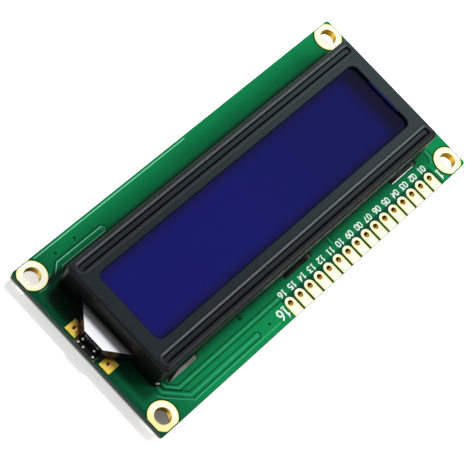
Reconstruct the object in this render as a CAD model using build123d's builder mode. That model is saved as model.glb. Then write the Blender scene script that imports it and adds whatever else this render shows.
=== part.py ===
"""Character LCD module, 80 x 36 mm, sixteen characters by two lines.

Millimetres. The origin is the centre of the four mounting holes on the board's display face. +X runs along the board
from pin 1 to the backlight lamp, +Y towards the header row, +Z out of the display.
"""
from build123d import *
import os

os.makedirs("parts", exist_ok=True)

# Circuit board
board_length = 80.0
board_width = 36.0
board_thickness = 1.6
board_corner = 0.6
land_thickness = 0.05
barrel_wall = 0.2

# Mounting holes and the gold rings round them
mount_edge_gap = 2.5
mount_hole_d = 3.0
mount_ring_d = 5.3
ring_edge_margin = 0.15

# Header row
header_count = 16
header_pitch = 2.54
header_end_gap = 8.0
header_edge_gap = 2.3
header_hole_d = 1.0
header_pad_width = 2.1

# Flats round the outside of every plated barrel, hidden in its drilling, and on the header lands' rear ends
barrel_flat_count = 12

# Bezel: drawn steel frame
bezel_end_gap = 4.85
bezel_side_gap = 6.2
bezel_height = 7.4
bezel_x = 0.15
bezel_y = -0.35
sheet = 0.5
bezel_edge_radius = 0.7
bezel_corner_radius = 0.9

# Display window in the bezel
window_end_border = 2.9
window_side_border = 4.5
window_shift = -0.2
window_corner = 1.3
window_edge_break = 0.15
lip_clearance = 0.05

# Pressed grooves along the bezel's long sides
groove_end_gap = 1.15
groove_width = 1.35
groove_edge_gap = 1.85
groove_depth = 0.4
groove_corner = 0.5
groove_draft = 30

# Locking tabs and their slots in the board
tab_width = 6.2
tab_end_gap = 6.25
tab_reach = 1.5
tab_turn = 13
slot_length = 7.5
slot_outer_gap = 0.75
slot_inner_gap = 0.2

# Liquid-crystal cell
glass_thickness = 1.1
polariser_thickness = 0.2
polariser_border = 0.9
glass_clearance = 0.25
glass_end_clearance = 0.4
contact_ledge = 2.45
rear_polariser_inset = 0.5
glass_edge_bevel = 0.12

# Rubber contact strips under the cell's two ledges
strip_end_gap = 2.25
strip_width = 1.8
strip_clearance = 0.25

# Backlight tray, guide and films
tray_floor = 0.5
tray_wall = 1.0
tray_end_gap = 0.3
film_thickness = 0.2
cell_air_gap = 1.2
guide_clearance = 0.15
nose_y = -0.7
nose_reach = 3.4
nose_tip_width = 4.3
nose_slope = 1.125
nose_base = 0.3
nose_roof = 0.3
nose_wall = 0.4
nose_clearance = 0.2
guide_tip_recess = 0.1

# Lamp at the nose's tip
lamp_gap = 0.05
lamp_length = 3.9
lamp_depth = 1.4
lamp_height = 1.0
lamp_bevel = 0.2
terminal_width = 0.45
terminal_height = 0.45
terminal_inset = 0.15

# Square plated holes beside the lamp
lamp_pad_end_gap = 1.7
lamp_pad_y = -0.45
lamp_pad_pitch = 8.05
lamp_pad_length = 2.5
lamp_pad_width = 2.35
lamp_hole_d = 0.9

# Rear face: epoxy domes over the bonded chips, each bevel as run along the flat and height down the side
blob_d = 19.0
blob_height = 1.4
blob_rim_run = 1.3
blob_rim_drop = 1.2
blob_crown_run = 4.2
blob_crown_drop = 0.8
blob_side_count = 32
controller_x = -12.5
driver_x = 17.5

# Rear face: chip components
chip_length = 2.0
chip_width = 1.25
chip_height = 0.5
ladder_x = 2.5
ladder_pitch = 3.0
ladder_count = 5
filter_chip_gap = 2.1
filter_chip_xs = [9.5, 13.0]
oscillator_chip_place = (-27.0, 4.5)
capacitor_places = [(-27.0, -0.5), (-27.0, -5.5)]
lamp_capacitor_end_gap = 9.5

# Heights and places that follow
mount_pitch_x = board_length - 2 * mount_edge_gap
mount_pitch_y = board_width - 2 * mount_edge_gap
header_first_x = header_end_gap - board_length / 2
header_y = board_width / 2 - header_edge_gap
board_rear = -board_thickness
bezel_length = board_length - 2 * bezel_end_gap
bezel_width = board_width - 2 * bezel_side_gap
window_length = bezel_length - 2 * window_end_border
window_width = bezel_width - 2 * window_side_border
window_y = bezel_y + window_shift
groove_length = bezel_length - 2 * groove_end_gap
groove_offset = bezel_width / 2 - groove_edge_gap
tab_pitch = bezel_length / 2 - tab_end_gap
sheet_under = bezel_height - sheet
glass_top = sheet_under - groove_depth
upper_glass_under = glass_top - glass_thickness
lower_glass_under = upper_glass_under - glass_thickness
rear_polariser_under = lower_glass_under - polariser_thickness
bezel_end_x = bezel_x + bezel_length / 2
bezel_half_width = bezel_width / 2
inner_half_length = bezel_length / 2 - sheet
inner_half_width = bezel_half_width - sheet
glass_length = 2 * (inner_half_length - glass_end_clearance)
upper_glass_width = 2 * (inner_half_width - glass_clearance)
lower_glass_width = upper_glass_width - 2 * contact_ledge
strip_length = glass_length - 2 * strip_end_gap
strip_y = lower_glass_width / 2 + strip_clearance + strip_width / 2
tray_width = lower_glass_width
tray_half_length = inner_half_length - tray_end_gap
tray_end_x = bezel_x + tray_half_length
nose_tip_x = bezel_end_x + nose_reach
lamp_pad_x = board_length / 2 - lamp_pad_end_gap
guide_base = tray_floor + film_thickness
guide_top = rear_polariser_under - cell_air_gap - film_thickness
guide_thickness = guide_top - guide_base
nose_top = guide_top + nose_roof
lamp_pad_ys = [lamp_pad_y + side * lamp_pad_pitch / 2 for side in (1, -1)]
header_xs = [header_first_x + header_pitch * i for i in range(header_count)]
corner_places = [
    (sx * mount_pitch_x / 2, sy * mount_pitch_y / 2) for sx in (-1, 1) for sy in (-1, 1)
]
tab_xs = [bezel_x - tab_pitch, bezel_x, bezel_x + tab_pitch]


def nose_half_width(x, inset=0.0):
    """Half the nose's width at x, measured square to the board's length."""
    return nose_tip_width / 2 + nose_slope * (nose_tip_x - x) - inset


def save(part, name):
    """Label one finished piece and write it to its own file."""
    part.label = name
    export_step(part, f"parts/{name}.step")


# Circuit board: blank, drilled holes and routed slots
slot_width = sheet + slot_outer_gap + slot_inner_gap
slot_y = bezel_half_width + slot_outer_gap - slot_width / 2
header_places = [(x, header_y) for x in header_xs]
lamp_pad_places = [(lamp_pad_x, y) for y in lamp_pad_ys]
drillings = ((corner_places, mount_hole_d), (header_places, header_hole_d), (lamp_pad_places, lamp_hole_d))
with BuildPart() as circuit_board:
    with BuildSketch(Plane.XY.offset(board_rear)):
        RectangleRounded(board_length, board_width, board_corner)
        for places, hole_d in drillings:
            with Locations(places):
                Circle(hole_d / 2 + barrel_wall, mode=Mode.SUBTRACT)
        with Locations([(x, bezel_y + side * slot_y) for x in tab_xs for side in (1, -1)]):
            SlotOverall(slot_length, slot_width, mode=Mode.SUBTRACT)
    extrude(amount=board_thickness)
save(circuit_board.part, "circuit_board")


def save_plated_hole(front_land, rear_land, place, hole_d, name):
    """One plated hole: a land on each face of the board, and the barrel that joins them."""
    with BuildPart() as plated_hole:
        for face_z, land in ((0.0, front_land), (board_rear - land_thickness, rear_land)):
            with BuildSketch(Plane.XY.offset(face_z)):
                add(land)
            extrude(amount=land_thickness)
        with BuildSketch(Plane.XY.offset(board_rear)):
            with Locations(place):
                RegularPolygon(hole_d / 2 + barrel_wall, barrel_flat_count)
        extrude(amount=board_thickness)
        with Locations((*place, 0)):
            Hole(hole_d / 2)
    save(plated_hole.part, name)


# Mounting holes: round lands, trimmed where they near the board's edges
for number, place in enumerate(corner_places, start=1):
    with BuildSketch() as ring_land:
        with Locations(place):
            Circle(mount_ring_d / 2)
        Rectangle(
            board_length - 2 * ring_edge_margin,
            board_width - 2 * ring_edge_margin,
            mode=Mode.INTERSECT,
        )
    save_plated_hole(ring_land.sketch, ring_land.sketch, place, mount_hole_d, f"corner_ring_{number}")

# Header holes: lands straight-sided and open at the board's edge, round towards the display, cut in flats on the rear
for number, place in enumerate(header_places, start=1):
    with BuildSketch() as header_strip:
        with Locations((place[0], header_y + header_edge_gap / 2)):
            Rectangle(header_pad_width, header_edge_gap)
    with BuildSketch() as front_land:
        add(header_strip.sketch)
        with Locations(place):
            Circle(header_pad_width / 2)
    with BuildSketch() as rear_land:
        add(header_strip.sketch)
        with Locations(place):
            RegularPolygon(header_pad_width / 2, barrel_flat_count)
    save_plated_hole(
        front_land.sketch,
        rear_land.sketch,
        place,
        header_hole_d,
        f"header_pad_{number:02d}",
    )

# Spare lamp holes: square lands
for number, place in enumerate(lamp_pad_places, start=1):
    with BuildSketch() as lamp_land:
        with Locations(place):
            Rectangle(lamp_pad_length, lamp_pad_width)
    save_plated_hole(lamp_land.sketch, lamp_land.sketch, place, lamp_hole_d, f"lamp_pad_{number}")

# Bezel: a drawn steel tray, open below, with a lipped window, two pressed grooves, a notch and turned tabs
groove_ys = [bezel_y + side * groove_offset for side in (1, -1)]
rib_length = groove_length + sheet
rib_width = groove_width + sheet
notch_half_width = nose_half_width(bezel_end_x - sheet) + nose_clearance
notch_top = nose_top + nose_clearance
tab_y = bezel_half_width - sheet / 2
with BuildPart() as bezel:
    with BuildSketch():
        with Locations((bezel_x, bezel_y)):
            RectangleRounded(bezel_length, bezel_width, bezel_corner_radius)
    extrude(amount=bezel_height)
    fillet(bezel.faces().sort_by(Axis.Z)[-1].edges(), bezel_edge_radius)
    with BuildSketch():
        with Locations((bezel_x, bezel_y)):
            Rectangle(2 * inner_half_length, 2 * inner_half_width)
    extrude(amount=sheet_under, mode=Mode.SUBTRACT)

    # Ribs that the grooves push out under the sheet, and the lip that stiffens the window
    for y in groove_ys:
        with BuildSketch(Plane.XY.offset(sheet_under)):
            with Locations((bezel_x, y)):
                Rectangle(rib_length, rib_width)
        extrude(amount=-groove_depth, taper=groove_draft)
    lip_under = glass_top + polariser_thickness + lip_clearance
    with BuildSketch(Plane.XY.offset(lip_under)):
        with Locations((bezel_x, window_y)):
            Rectangle(window_length + 2 * sheet, window_width + 2 * sheet)
    extrude(amount=sheet_under - lip_under)

    # Grooves and window
    for y in groove_ys:
        with BuildSketch(Plane.XY.offset(bezel_height)):
            with Locations((bezel_x, y)):
                RectangleRounded(groove_length, groove_width, groove_corner)
        extrude(amount=-groove_depth, taper=groove_draft, mode=Mode.SUBTRACT)
    with BuildSketch(Plane.XY.offset(lip_under)):
        with Locations((bezel_x, window_y)):
            RectangleRounded(window_length, window_width, window_corner)
    extrude(amount=bezel_height - lip_under, mode=Mode.SUBTRACT)
    top_rims = bezel.edges().filter_by_position(Axis.Z, bezel_height, bezel_height)
    window_rim = top_rims.filter_by_position(
        Axis.Y, window_y - window_width / 2, window_y + window_width / 2
    )
    chamfer(window_rim, window_edge_break)

    # Notch for the backlight's nose
    with BuildSketch():
        with Locations((bezel_end_x - sheet / 2, nose_y)):
            Rectangle(2 * sheet, 2 * notch_half_width)
    extrude(amount=notch_top, mode=Mode.SUBTRACT)

    # Tabs: straight through the board's slot, turned behind it
    for x in tab_xs:
        for side in (1, -1):
            y = bezel_y + side * tab_y
            with BuildSketch():
                with Locations((x, y)):
                    Rectangle(tab_width, sheet)
            extrude(amount=board_rear)
            with BuildSketch(Plane.XY.offset(board_rear)):
                with Locations(Location((x, y), tab_turn)):
                    Rectangle(tab_width, sheet)
            extrude(amount=-tab_reach)
save(bezel.part, "bezel")

# Liquid-crystal cell: two panes, the upper one wider so that its contact ledges show below
with BuildPart() as upper_glass:
    with BuildSketch(Plane.XY.offset(upper_glass_under)):
        with Locations((bezel_x, bezel_y)):
            Rectangle(glass_length, upper_glass_width)
    extrude(amount=glass_thickness)
    chamfer(upper_glass.faces().sort_by(Axis.Z)[-1].edges(), glass_edge_bevel)
save(upper_glass.part, "upper_glass")

with BuildPart() as lower_glass:
    with BuildSketch(Plane.XY.offset(lower_glass_under)):
        with Locations((bezel_x, bezel_y)):
            Rectangle(glass_length, lower_glass_width)
    extrude(amount=glass_thickness)
    chamfer(lower_glass.faces().sort_by(Axis.Z)[0].edges(), glass_edge_bevel)
save(lower_glass.part, "lower_glass")

with BuildPart() as front_polariser:
    with BuildSketch(Plane.XY.offset(glass_top)):
        with Locations((bezel_x, window_y)):
            Rectangle(window_length + 2 * polariser_border, window_width + 2 * polariser_border)
    extrude(amount=polariser_thickness)
save(front_polariser.part, "front_polariser")

with BuildPart() as rear_polariser:
    with BuildSketch(Plane.XY.offset(rear_polariser_under)):
        with Locations((bezel_x, bezel_y)):
            Rectangle(glass_length - 2 * rear_polariser_inset, lower_glass_width - 2 * rear_polariser_inset)
    extrude(amount=polariser_thickness)
save(rear_polariser.part, "rear_polariser")

# Rubber contact strips, squeezed between the board and the upper pane's ledges
for side, name in ((1, "contact_strip_header_side"), (-1, "contact_strip_far_side")):
    with BuildPart() as contact_strip:
        with BuildSketch():
            with Locations((bezel_x, bezel_y + side * strip_y)):
                Rectangle(strip_length, strip_width)
        extrude(amount=upper_glass_under)
    save(contact_strip.part, name)

# Backlight tray: floor, rim and hollow nose in one white moulding
pocket_half_length = tray_half_length - tray_wall
pocket_x = bezel_x + pocket_half_length
pocket_half_width = tray_width / 2 - tray_wall
with BuildPart() as backlight_tray:
    with BuildSketch():
        with Locations((bezel_x, bezel_y)):
            Rectangle(2 * tray_half_length, tray_width)
    extrude(amount=rear_polariser_under)
    with BuildSketch(Plane.XY.offset(nose_base)):
        with BuildLine():
            Polyline(
                (pocket_x, nose_y - nose_half_width(tray_end_x)),
                (tray_end_x, nose_y - nose_half_width(tray_end_x)),
                (nose_tip_x, nose_y - nose_tip_width / 2),
                (nose_tip_x, nose_y + nose_tip_width / 2),
                (tray_end_x, nose_y + nose_half_width(tray_end_x)),
                (pocket_x, nose_y + nose_half_width(tray_end_x)),
                close=True,
            )
        make_face()
    extrude(amount=nose_top - nose_base)
    with BuildSketch(Plane.XY.offset(tray_floor)):
        with Locations((bezel_x, bezel_y)):
            Rectangle(2 * pocket_half_length, 2 * pocket_half_width)
    extrude(amount=rear_polariser_under - tray_floor, mode=Mode.SUBTRACT)
    with BuildSketch(Plane.XY.offset(guide_base)):
        with BuildLine():
            Polyline(
                (pocket_x, nose_y - nose_half_width(pocket_x, nose_wall + tray_wall)),
                (nose_tip_x, nose_y - nose_half_width(nose_tip_x, nose_wall)),
                (nose_tip_x, nose_y + nose_half_width(nose_tip_x, nose_wall)),
                (pocket_x, nose_y + nose_half_width(pocket_x, nose_wall + tray_wall)),
                close=True,
            )
        make_face()
    extrude(amount=guide_thickness, mode=Mode.SUBTRACT)
save(backlight_tray.part, "backlight_tray")

# Films in the tray and the clear guide between them
film_length = 2 * (pocket_half_length - guide_clearance)
film_width = 2 * (pocket_half_width - guide_clearance)
with BuildPart() as reflector_sheet:
    with BuildSketch(Plane.XY.offset(tray_floor)):
        with Locations((bezel_x, bezel_y)):
            Rectangle(film_length, film_width)
    extrude(amount=film_thickness)
save(reflector_sheet.part, "reflector_sheet")

with BuildPart() as diffuser_sheet:
    with BuildSketch(Plane.XY.offset(guide_top)):
        with Locations((bezel_x, bezel_y)):
            Rectangle(film_length, film_width)
    extrude(amount=film_thickness)
save(diffuser_sheet.part, "diffuser_sheet")

guide_tip_x = nose_tip_x - guide_tip_recess
tongue_root_half_width = nose_half_width(pocket_x, nose_wall + tray_wall) - guide_clearance
tongue_tip_half_width = nose_half_width(guide_tip_x, nose_wall + guide_clearance)
with BuildPart() as light_guide:
    with BuildSketch(Plane.XY.offset(guide_base)):
        with Locations((bezel_x, bezel_y)):
            Rectangle(film_length, film_width)
        with BuildLine():
            Polyline(
                (pocket_x - tray_wall, nose_y - tongue_root_half_width),
                (pocket_x, nose_y - tongue_root_half_width),
                (guide_tip_x, nose_y - tongue_tip_half_width),
                (guide_tip_x, nose_y + tongue_tip_half_width),
                (pocket_x, nose_y + tongue_root_half_width),
                (pocket_x - tray_wall, nose_y + tongue_root_half_width),
                close=True,
            )
        make_face()
    extrude(amount=guide_thickness)
save(light_guide.part, "light_guide")

# Lamp: clear resin body with a bevelled top, and a soldered terminal at each end
lamp_x = nose_tip_x + lamp_gap + lamp_depth / 2
with BuildPart() as lamp_body:
    with BuildSketch():
        with Locations((lamp_x, nose_y)):
            Rectangle(lamp_depth, lamp_length)
    extrude(amount=lamp_height)
    chamfer(lamp_body.faces().sort_by(Axis.Z)[-1].edges(), lamp_bevel)
save(lamp_body.part, "lamp_body")

for number, side in enumerate((1, -1), start=1):
    with BuildPart() as lamp_terminal:
        with BuildSketch():
            with Locations((lamp_x, nose_y + side * (lamp_length + terminal_width) / 2)):
                Rectangle(lamp_depth - 2 * terminal_inset, terminal_width)
        extrude(amount=terminal_height)
        fillet(lamp_terminal.faces().sort_by(Axis.Z)[-1].edges(), terminal_inset)
    save(lamp_terminal.part, f"lamp_terminal_{number}")

# Epoxy domes on the rear face
for x, name in ((controller_x, "controller_blob"), (driver_x, "driver_blob")):
    with BuildPart() as blob:
        with BuildSketch(Plane.XY.offset(board_rear)):
            with Locations((x, bezel_y)):
                RegularPolygon(blob_d / 2, blob_side_count)
        extrude(amount=-blob_height)
        for run, drop in ((blob_rim_run, blob_rim_drop), (blob_crown_run, blob_crown_drop)):
            crown = blob.faces().sort_by(Axis.Z)[0]
            chamfer(crown.edges(), length=run, length2=drop, reference=crown)
    save(blob.part, name)


# Chip components on the rear face
def save_chip(name, x, y):
    """One chip component: a ceramic block, flat on the board's rear."""
    with BuildPart() as chip:
        with BuildSketch(Plane.XY.offset(board_rear)):
            with Locations((x, y)):
                Rectangle(chip_length, chip_width)
        extrude(amount=-chip_height)
    save(chip.part, name)


ladder_ys = [bezel_y + ladder_pitch * (i - (ladder_count - 1) / 2) for i in range(ladder_count)]
filter_chips = [(x, header_y - filter_chip_gap) for x in filter_chip_xs]
resistors = [(ladder_x, y) for y in ladder_ys] + filter_chips + [oscillator_chip_place]
for number, (x, y) in enumerate(resistors, start=1):
    save_chip(f"chip_resistor_{number}", x, y)
capacitors = capacitor_places + [(board_length / 2 - lamp_capacitor_end_gap, 0.0)]
for number, (x, y) in enumerate(capacitors, start=1):
    save_chip(f"chip_capacitor_{number}", x, y)
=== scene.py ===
"""Looks for a character LCD module: green board, black steel bezel, blue display and side-lit backlight."""
import math

import bpy
import numpy as np
from mathutils import Matrix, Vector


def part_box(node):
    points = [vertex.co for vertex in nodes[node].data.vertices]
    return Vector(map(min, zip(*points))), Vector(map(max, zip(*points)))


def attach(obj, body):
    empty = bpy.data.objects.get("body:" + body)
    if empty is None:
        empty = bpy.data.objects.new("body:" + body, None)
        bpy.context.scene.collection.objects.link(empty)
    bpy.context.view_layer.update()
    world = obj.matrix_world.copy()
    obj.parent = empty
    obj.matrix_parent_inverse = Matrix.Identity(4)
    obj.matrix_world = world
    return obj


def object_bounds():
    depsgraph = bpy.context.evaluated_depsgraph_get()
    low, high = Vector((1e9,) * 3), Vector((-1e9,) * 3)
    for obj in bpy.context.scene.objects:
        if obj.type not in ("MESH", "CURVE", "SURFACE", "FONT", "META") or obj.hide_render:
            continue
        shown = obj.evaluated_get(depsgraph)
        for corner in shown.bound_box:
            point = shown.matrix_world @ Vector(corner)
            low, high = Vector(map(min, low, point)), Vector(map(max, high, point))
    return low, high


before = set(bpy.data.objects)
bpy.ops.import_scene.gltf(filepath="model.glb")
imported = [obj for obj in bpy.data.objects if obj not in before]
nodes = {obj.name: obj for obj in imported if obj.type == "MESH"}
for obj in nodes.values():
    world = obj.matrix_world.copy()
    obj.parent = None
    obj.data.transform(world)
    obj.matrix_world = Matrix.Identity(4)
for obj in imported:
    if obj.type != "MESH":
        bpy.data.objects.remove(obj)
cad_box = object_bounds()
MM = 0.001


# The circuit board: fibreglass with copper on both faces under green solder mask. It is drilled and plated,
# then cut from its panel, which leaves the core bare on its sides. The bezel stands on its face with two
# long walls, and the header's lands lie in a row along one side.
board_low, board_high = (np.array(corner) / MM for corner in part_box("circuit_board"))
board_end_x, board_side_y = float(board_high[0]), float(board_high[1])
face_z, rear_z = float(board_high[2]), float(board_low[2])
board_middle_z, board_half = (face_z + rear_z) / 2, (face_z - rear_z) / 2
pin_end_x, lamp_end_x = (float(corner[0]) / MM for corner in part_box("bezel"))
header_wall_y, far_wall_y = 11.45, -12.15
pin_count, pin_pitch, first_pin_x, header_y = 16, 2.54, -32.0, 15.7
header_land_half = 1.05
row_start_x = first_pin_x - header_land_half
row_end_x = first_pin_x + pin_pitch * (pin_count - 1) + header_land_half


def finish(name):
    """A new material with its node tree and its Principled shader."""
    material = bpy.data.materials.new(name)
    material.use_nodes = True
    tree = material.node_tree
    return material, tree, tree.nodes["Principled BSDF"]


def srgb(r, g, b):
    """Linear colour of an 8-bit screen colour."""
    c = np.array([r, g, b], float) / 255
    linear = np.where(c <= 0.04045, c / 12.92, ((c + 0.055) / 1.055) ** 2.4)
    return (*linear.tolist(), 1.0)


def feed(tree, socket, value):
    """Links a socket to an input, or writes a number or colour into it."""
    if hasattr(value, "is_output"):
        tree.links.new(value, socket)
    else:
        socket.default_value = value


def calc(tree, operation, *operands):
    """One Math node on sockets or numbers; returns its result."""
    node = tree.nodes.new("ShaderNodeMath")
    node.operation = operation
    for socket, value in zip(node.inputs, operands):
        feed(tree, socket, value)
    return node.outputs[0]


def times(tree, first, *others):
    """The product of several shares."""
    for share in others:
        first = calc(tree, "MULTIPLY", first, share)
    return first


def largest(tree, first, *others):
    """The largest of several shares."""
    for share in others:
        first = calc(tree, "MAXIMUM", first, share)
    return first


def distance(tree, value, middle):
    """How far a place lies from a middle given in mm, to either side."""
    return calc(tree, "ABSOLUTE", calc(tree, "SUBTRACT", value, middle * MM))


def mix_colour(tree, share, first, second):
    """The first colour where the share is zero, the second where it is one."""
    node = tree.nodes.new("ShaderNodeMix")
    node.data_type = "RGBA"
    for socket, value in zip((node.inputs[0], node.inputs[6], node.inputs[7]), (share, first, second)):
        feed(tree, socket, value)
    return node.outputs[2]


def place_sockets(tree):
    """Object coordinates: x, y, z and the whole vector."""
    coordinate = tree.nodes.new("ShaderNodeTexCoord")
    split = tree.nodes.new("ShaderNodeSeparateXYZ")
    tree.links.new(coordinate.outputs["Object"], split.inputs[0])
    return (*split.outputs[:3], coordinate.outputs["Object"])


def fade(tree, value, start, end, scale=MM):
    """Zero at the start and one at the end with a smooth step between. Both are places in mm, or plain
    numbers where the scale is 1."""
    node = tree.nodes.new("ShaderNodeMapRange")
    node.interpolation_type = "SMOOTHSTEP"
    node.inputs["From Min"].default_value = start * scale
    node.inputs["From Max"].default_value = end * scale
    tree.links.new(value, node.inputs["Value"])
    return node.outputs[0]


def band(tree, value, start, peak, end):
    """One at the peak, zero at the start and at the end."""
    return times(tree, fade(tree, value, start, peak), fade(tree, value, end, peak))


def make_grain_group():
    """Fine relief and slow colour drift for every finish: two noises on Object coordinates, each at its own
    scale."""
    group = bpy.data.node_groups.new("surface_grain", "ShaderNodeTree")
    for name, value in (("Scale", 4000.0), ("Drift Scale", 120.0)):
        socket = group.interface.new_socket(name, in_out="INPUT", socket_type="NodeSocketFloat")
        socket.default_value = value
    for name in ("Height", "Drift"):
        group.interface.new_socket(name, in_out="OUTPUT", socket_type="NodeSocketFloat")
    inside, outside = group.nodes.new("NodeGroupInput"), group.nodes.new("NodeGroupOutput")
    coordinate = group.nodes.new("ShaderNodeTexCoord")
    for index, detail in ((0, 2.0), (1, 3.0)):
        noise = group.nodes.new("ShaderNodeTexNoise")
        noise.inputs["Detail"].default_value = detail
        group.links.new(coordinate.outputs["Object"], noise.inputs["Vector"])
        group.links.new(inside.outputs[index], noise.inputs["Scale"])
        group.links.new(noise.outputs["Fac"], outside.inputs[index])
    return group


grain_group = make_grain_group()


def grain(tree, shader, scale, drift_scale, strength):
    """Adds the grain: its relief bends the shader's normal, and its drift socket is returned."""
    node = tree.nodes.new("ShaderNodeGroup")
    node.node_tree = grain_group
    node.inputs["Scale"].default_value = scale
    node.inputs["Drift Scale"].default_value = drift_scale
    relief = tree.nodes.new("ShaderNodeBump")
    relief.inputs["Strength"].default_value = strength
    relief.inputs["Distance"].default_value = 0.02 * MM
    tree.links.new(node.outputs["Height"], relief.inputs["Height"])
    tree.links.new(relief.outputs["Normal"], shader.inputs["Normal"])
    return node.outputs["Drift"]


def dress(names, material):
    """Gives CAD nodes their finished material."""
    for name in names:
        nodes[name].material_slots[0].material = material


def mask_painted_shade(tree, x, y):
    """How much painted shade darkens the mask: most towards the lamp, then beside the bezel's long walls, and
    it is also darker between the header's lands."""
    # Painted shade of the bezel: at the lamp end and the board's edge there, and beside both long walls.
    lamp_end = times(tree, fade(tree, x, board_end_x - 16.0, board_end_x - 1.5), 0.72)
    board_edge = fade(tree, x, board_end_x - 2.2, board_end_x - 0.6)
    far_side = times(tree, band(tree, y, far_wall_y + 0.65, far_wall_y - 1.35, -board_side_y - 0.5), 0.6)
    header_side = band(tree, y, header_wall_y - 0.45, header_wall_y + 0.05, header_wall_y + 4.05)
    header_side = times(tree, header_side, 0.75, fade(tree, x, pin_end_x - 1.5, pin_end_x + 0.8))
    along_row = times(tree, fade(tree, x, row_start_x - 0.95, row_start_x - 0.15),
                      fade(tree, x, row_end_x + 0.45, row_end_x - 0.15))
    between_lands = times(tree, along_row, fade(tree, y, header_y - 1.9, header_y - 1.1))
    return largest(tree, lamp_end, board_edge, far_side, header_side, between_lands)


def shaded_foot(tree, x, y):
    """How dark the mask is at the bezel's foot: deepest under the lamp end, and along the far wall."""
    lamp_foot = times(tree, band(tree, x, lamp_end_x - 2.3, lamp_end_x + 1.6, lamp_end_x + 4.8),
                      band(tree, y, far_wall_y - 2.65, far_wall_y + 4.55, header_wall_y + 1.75))
    lamp_foot = calc(tree, "MINIMUM", times(tree, lamp_foot, 2.0), 0.92)
    far_foot = times(tree, band(tree, y, far_wall_y - 2.25, far_wall_y - 0.95, far_wall_y + 2.15),
                     fade(tree, x, pin_end_x - 0.4, pin_end_x + 0.4),
                     fade(tree, x, lamp_end_x + 2.9, lamp_end_x + 0.7))
    return largest(tree, lamp_foot, far_foot)


def bare_core(tree, z, place):
    """The board's cut side: fine layers of glass cloth, paler towards the rear with painted light from the
    table below.
    """
    layers = tree.nodes.new("ShaderNodeTexWave")
    layers.bands_direction = "Z"
    layers.inputs["Scale"].default_value = 1500.0
    layers.inputs["Distortion"].default_value = 6.0
    tree.links.new(place, layers.inputs["Vector"])
    cloth = mix_colour(tree, layers.outputs["Fac"], srgb(38, 56, 46), srgb(58, 78, 64))
    paler = times(tree, fade(tree, z, board_middle_z - 0.15, board_middle_z - 0.5), 0.75)
    return mix_colour(tree, paler, cloth, srgb(196, 204, 194))


def mask_finish(name, dark, deep, bright):
    """Solder mask in two greens that drift into each other. It is darker on the display side, with painted
    shade beside the bezel and at its foot, and it has bare core on the cut sides."""
    material, tree, shader = finish(name)
    x, y, z, place = place_sockets(tree)
    drift = grain(tree, shader, 2500.0, 160.0, 0.08)
    on_face = calc(tree, "GREATER_THAN", z, board_middle_z * MM)
    shade_share = times(tree, mask_painted_shade(tree, x, y), on_face)
    green = mix_colour(tree, shade_share, mix_colour(tree, drift, deep, bright), dark)
    # Painted shadow at the bezel's foot, in near-black green.
    green = mix_colour(tree, times(tree, shaded_foot(tree, x, y), on_face), green, srgb(0, 18, 10))
    side = calc(tree, "LESS_THAN", distance(tree, z, board_middle_z), (board_half - 0.01) * MM)
    colour = mix_colour(tree, side, green, bare_core(tree, z, place))
    tree.links.new(colour, shader.inputs["Base Color"])
    tree.links.new(calc(tree, "MULTIPLY_ADD", side, 0.35, 0.42), shader.inputs["Roughness"])
    shader.inputs["Specular IOR Level"].default_value = 0.1
    return material


# The first green is the mask in painted shade; the other two drift into each other.
board_material = mask_finish("board_mask", srgb(3, 66, 42), srgb(8, 122, 68), srgb(12, 136, 78))
dress(["circuit_board"], board_material)


# Tracks under the mask: etched copper lifts the mask in soft ridges, and the etched gaps beside it show as
# darker lines on both sides of each track. Most lie at the lamp end, beside the bezel's corners, and short
# ones come out from under its wall on the header side.
def piece_from(name, grids, around=True, along=False, smooth=False):
    """One mesh from grids of places in mm, given as (rows, columns, 3). Neighbours make four-sided faces;
    around closes each row on itself, along joins the last row to the first, and a closed row at an open end
    gets a cap."""
    points, faces, start = [], [], 0
    for grid in grids:
        n, m = grid.shape[:2]
        i, j = (index.ravel() for index in np.meshgrid(
            np.arange(n if along else n - 1), np.arange(m if around else m - 1), indexing="ij"))
        i_next, j_next = (i + 1) % n, (j + 1) % m
        quads = np.stack([i * m + j, i * m + j_next, i_next * m + j_next, i_next * m + j], 1) + start
        faces += quads.tolist()
        if around and not along:
            faces.append((start + np.arange(m)[::-1]).tolist())
            faces.append((start + (n - 1) * m + np.arange(m)).tolist())
        points.append(grid.reshape(-1, 3) * MM)
        start += n * m
    mesh = bpy.data.meshes.new(name)
    mesh.from_pydata(np.vstack(points).tolist(), [], faces)
    if smooth:
        mesh.shade_smooth()
    piece = bpy.data.objects.new(name, mesh)
    bpy.context.scene.collection.objects.link(piece)
    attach(piece, "root")
    return piece


def wear(piece, material):
    """Gives a new piece its material."""
    piece.data.materials.append(material)


def mitred(run):
    """The points of a line, and for each the sideways step that keeps a parallel line at distance one: the
    mean of the two neighbouring normals over the cosine of half their turn."""
    p = np.array(run, float)
    step = np.diff(p, axis=0)
    step /= np.linalg.norm(step, axis=1)[:, None]
    before, after = np.vstack([step[:1], step]), np.vstack([step, step[-1:]])
    mean = before + after
    mean /= np.linalg.norm(mean, axis=1)[:, None]
    normal = np.stack([-mean[:, 1], mean[:, 0]], 1)
    return p, normal / np.maximum((mean * before).sum(1), 0.3)[:, None]


def ribbon(name, runs, width, bottom, top):
    """Flat bars carried along lines in mm: a four-cornered section, half the width to each side of the line,
    from the bottom to the top height."""
    grids = []
    for run in runs:
        p, sideways = mitred(run)
        left, right = p + sideways * width / 2, p - sideways * width / 2
        corners = [(left, top), (right, top), (right, bottom), (left, bottom)]
        grids.append(np.stack([np.column_stack([edge, np.full(len(p), z)]) for edge, z in corners], 1))
    return piece_from(name, grids)


def shifted(run, offset):
    """The same line moved sideways."""
    p, sideways = mitred(run)
    return (p + sideways * offset).tolist()


def arc(x, y, radius, start, end, count=24):
    """Points on a circle from one angle to another, in degrees."""
    a = np.radians(np.linspace(start, end, count))
    return np.stack([x + radius * np.cos(a), y + radius * np.sin(a)], 1).tolist()


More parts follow.
